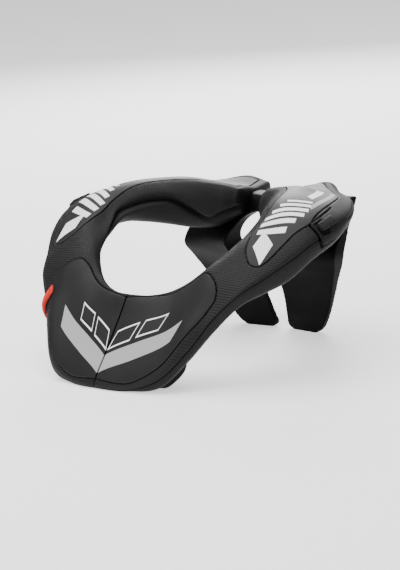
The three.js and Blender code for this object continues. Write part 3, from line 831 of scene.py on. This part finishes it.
def band(turns, edges, above, below, columns, rows, edge_round, recess=0.0):
    """A closed band with rounded edges, from one height off the collar to another."""
    points, marks = [], []
    shares = np.linspace(0, 1, columns)
    places = np.linspace(edges[0], edges[1], rows)
    for share in shares:
        turn = turns[0] + (turns[1] - turns[0]) * share
        outer = edge_line(turn, edges, (above - recess * recess_share(turn, places))[:, None], rows)
        inner = edge_line(turn, edges, below, rows)[::-1]
        loop = np.concatenate([outer, inner, outer[:1]])
        points.append(placed(turn, loop))
        marks.append(ring_marks(turn, run_along(loop)))
    bm = make_grid(np.array(points), np.array(marks))
    close_up(bm)
    inner_edges = [edge for edge in bm.edges if len(edge.link_faces) == 2]
    sharp = [edge for edge in inner_edges if edge.calc_face_angle() > SHARP_ANGLE]
    bmesh.ops.bevel(
        bm, geom=sharp, offset=edge_round, segments=3, profile=0.5, affect="EDGES", material=-1)
    return bm


def join_meshes(meshes):
    """Several bmeshes as one."""
    joined = meshes[0]
    for other in meshes[1:]:
        mesh = bpy.data.meshes.new("joined")
        other.to_mesh(mesh)
        joined.from_mesh(mesh)
        bpy.data.meshes.remove(mesh)
        other.free()
    return joined


def make_bridges():
    base = BRIDGE_PROUD - BRIDGE_DEPTH
    floor = base - BRIDGE_SLOT + SEAT_GAP
    sunk = 0.001
    low, high = BRIDGE_EDGES
    plate = band(BRIDGE_TURNS, BRIDGE_EDGES, BRIDGE_PROUD, base,
                 columns=64, rows=64, edge_round=0.0006, recess=RECESS_DEPTH)
    bar = band(BAR_TURNS, BAR_EDGES, BRIDGE_PROUD + BAR_HEIGHT, BRIDGE_PROUD - sunk,
               columns=18, rows=6, edge_round=0.0008)
    feet = [band(BRIDGE_TURNS, edges, base + sunk, floor, columns=20, rows=4, edge_round=0.0003)
            for edges in ([low + FOOT_INSET, low + FOOT_WIDTH], [high - FOOT_WIDTH, high - FOOT_INSET])]
    both_sides("strap_bridge", join_meshes([plate, bar, *feet]), moulded)


def make_tab():
    bm = band(TAB_TURNS, TAB_EDGES, SEAT_GAP + TAB_DEPTH, SEAT_GAP, columns=20, rows=26, edge_round=0.0007)
    bm.normal_update()
    middle, half = sum(TAB_TURNS) / 2, (TAB_TURNS[1] - TAB_TURNS[0]) / 2
    least_outward = 0.2
    for vert in bm.verts:
        outward = Vector((vert.co.x, vert.co.y - NECK_Y, 0)).normalized()
        turn = math.degrees(math.atan2(vert.co.x, NECK_Y - vert.co.y))
        if vert.normal.dot(outward) > least_outward:
            vert.co += outward * TAB_PUFF * max(1 - abs(turn - middle) / half, 0)
    mirror(bm)
    make_piece("pull_tab_webbing", bm, red_webbing, "pull_tab")


# Bands against the underside

def underside_at(turn, radius):
    """The height of the half's underside at a place, and its outward direction in the section."""
    whole = outline_at(abs(turn))
    part = whole[OUTLINE_POINTS.index("fold") * STEPS: OUTLINE_POINTS.index("lip") * STEPS + 1]
    out = outward_of(part, closed=False)
    order = np.argsort(part[:, 0])
    height = np.interp(radius, part[order, 0], part[order, 1])
    direction = [np.interp(radius, part[order, 0], out[order, k]) for k in (0, 1)]
    return height, direction


def under_band(rows, above, depth_at, columns, cuts):
    """A closed band laid against the underside, as a bmesh."""
    points, marks = [], []
    for i in range(cuts):
        spot = i / (cuts - 1) * (len(rows) - 1)
        row = cubic(rows, spot)
        ends = []
        for turn, share in ((row[0], row[1]), (row[2], row[3])):
            angle = math.radians(turn)
            ends.append(np.array([math.sin(angle), -math.cos(angle)]) * share / 100 * REACH)
        upper, lower = [], []
        for j in range(columns):
            share = j / (columns - 1)
            flat = ends[0] * (1 - share) + ends[1] * share
            radius = np.linalg.norm(flat)
            turn = math.degrees(math.atan2(flat[0], -flat[1]))
            height, (out, up) = underside_at(turn, radius)
            for line, depth in ((upper, above), (lower, depth_at(spot, share))):
                away = 1 + out * depth / radius
                line.append([flat[0] * away, NECK_Y + flat[1] * away, max(height + up * depth, 0)])
        loop = upper + lower[::-1] + upper[:1]
        points.append(loop)
        run = run_along(np.array(loop))
        marks.append(np.stack([np.full(len(run), i * UV_STEP), run], axis=1))
    bm = make_grid(np.array(points), np.array(marks))
    close_up(bm)
    return bm


def make_under_pieces():
    chest = [[turn, inner, turn, outer, depth] for turn, inner, outer, depth in CHEST_ROWS]
    least_share, edge_loss, edge_power = 0.2, 0.5, 4

    def chest_depth(spot, share):
        crown = 1 - abs(2 * share - 1) ** edge_power * edge_loss
        return CHEST_DEPTH * max(cubic(chest, spot)[4], least_share) * crown

    pad = under_band(chest, 0.0, chest_depth, columns=24, cuts=40)
    for piece in both_sides("chest_pad", pad, chest_foam):
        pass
    strap = under_band(
        STRAP_ROWS, SEAT_GAP, lambda spot, share: SEAT_GAP + STRAP_DEPTH, columns=12, cuts=60)
    make_piece("closure_strap_webbing", strap, black_webbing, "closure_strap")


# The stabiliser

def leg_grid(side):
    """One leg and its half of the yoke, as a grid of points round it."""
    points, marks = [], []
    columns, cuts = 15, 90
    shares = np.linspace(0, 1, columns)
    for spot in np.linspace(0, len(LEG_SLICES) - 1, cuts):
        height, inner, outer, front_in, front_out, back_in, back_out = cubic(LEG_SLICES, spot)
        inner = max(inner, LEG_OVERLAP)
        across = (inner + (outer - inner) * shares) / 100 * LEG_REACH
        front = LEG_BACK + (front_in + (front_out - front_in) * shares) / 100 * LEG_HEIGHT
        back = LEG_BACK + LEG_DEPTH + (back_in + (back_out - back_in) * shares) / 100 * LEG_HEIGHT
        level = np.full(len(shares), max(height, 0) / 100 * LEG_HEIGHT)
        loop = [*zip(side * across, front, level), *zip(side * across[::-1], back[::-1], level)]
        loop.append(loop[0])
        points.append(loop)
        marks.append([[k * UV_STEP, spot * 2 * UV_STEP] for k in range(len(loop))])
    return np.array(points), np.array(marks)


def make_stabiliser():
    sides = []
    for side in (1, -1):
        bm = make_grid(*leg_grid(side))
        close_up(bm)
        sides.append(bm)
    piece = make_piece("stabiliser_body", join_meshes(sides), ribbed, "stabiliser")
    remesh = piece.modifiers.new("Fuse", "REMESH")
    remesh.mode = "VOXEL"
    remesh.voxel_size = VOXEL
    remesh.use_smooth_shade = True
    smooth = piece.modifiers.new("Soften", "SMOOTH")
    smooth.factor = 0.5
    smooth.iterations = 4


make_collar()
make_panels()
make_bridges()
make_tab()
make_under_pieces()
make_stabiliser()


# Studio

def make_floor():
    half_width = 20
    bm = bmesh.new()
    bmesh.ops.create_grid(bm, x_segments=1, y_segments=1, size=half_width)
    mesh = bpy.data.meshes.new("floor")
    bm.to_mesh(mesh)
    bm.free()
    floor = bpy.data.objects.new("floor", mesh)
    bpy.context.scene.collection.objects.link(floor)
    material, _, shader, _ = new_material("Pale floor", roughness=0.9, specular=0.1)
    shader.inputs["Base Color"].default_value = (0.8, 0.8, 0.8, 1)
    shader.inputs["Emission Color"].default_value = (1, 1, 1, 1)
    shader.inputs["Emission Strength"].default_value = 0.8
    mesh.materials.append(material)


def add_light(name, place, size, power):
    """A round lamp that shines on the middle of the brace."""
    aim = Vector((0, 0, 0.07))
    light = bpy.data.lights.new(name, "AREA")
    light.shape = "DISK"
    light.size = size
    light.energy = power
    lamp = bpy.data.objects.new(name, light)
    lamp.location = place
    lamp.rotation_euler = (aim - Vector(place)).to_track_quat("-Z", "Y").to_euler()
    bpy.context.scene.collection.objects.link(lamp)


def make_camera():
    """The camera of the photograph: its turn round the brace, height over it, tilt and aim."""
    azimuth = math.radians(42.9)
    elevation = math.radians(11.9)
    roll = math.radians(-3.95)
    distance = 2.2
    target = Vector((0, 0.0031, 0.0602))
    focal_pixels, frame_pixels = 2565, 570
    right = Vector((math.cos(azimuth), math.sin(azimuth), 0))
    ahead = Vector((-math.sin(azimuth) * math.cos(elevation),
                    math.cos(azimuth) * math.cos(elevation), -math.sin(elevation)))
    up = right.cross(ahead)
    turned_right = math.cos(roll) * right + math.sin(roll) * up
    turned_up = math.cos(roll) * up - math.sin(roll) * right
    facing = Matrix((turned_right, turned_up, -ahead)).transposed()
    data = bpy.data.cameras.new("camera")
    data.sensor_width = 36
    data.lens = focal_pixels / frame_pixels * data.sensor_width
    data.clip_end = 50
    camera = bpy.data.objects.new("camera", data)
    camera.matrix_world = Matrix.Translation(target - ahead * distance) @ facing.to_4x4()
    bpy.context.scene.collection.objects.link(camera)
    bpy.context.scene.camera = camera


def make_world():
    world = bpy.data.worlds.new("studio")
    world.use_nodes = True
    background = world.node_tree.nodes["Background"]
    background.inputs["Color"].default_value = (1, 1, 1, 1)
    background.inputs["Strength"].default_value = 0.3
    bpy.context.scene.world = world


make_floor()
add_light("top", (-0.4, 0.0, 1.8), size=2.4, power=72)
add_light("behind", (-1.1, 1.4, 0.9), size=0.9, power=34)
add_light("front", (-0.1, -1.8, 0.5), size=1.0, power=22)
add_light("left", (1.5, -0.4, 0.25), size=0.7, power=9)
make_world()
make_camera()
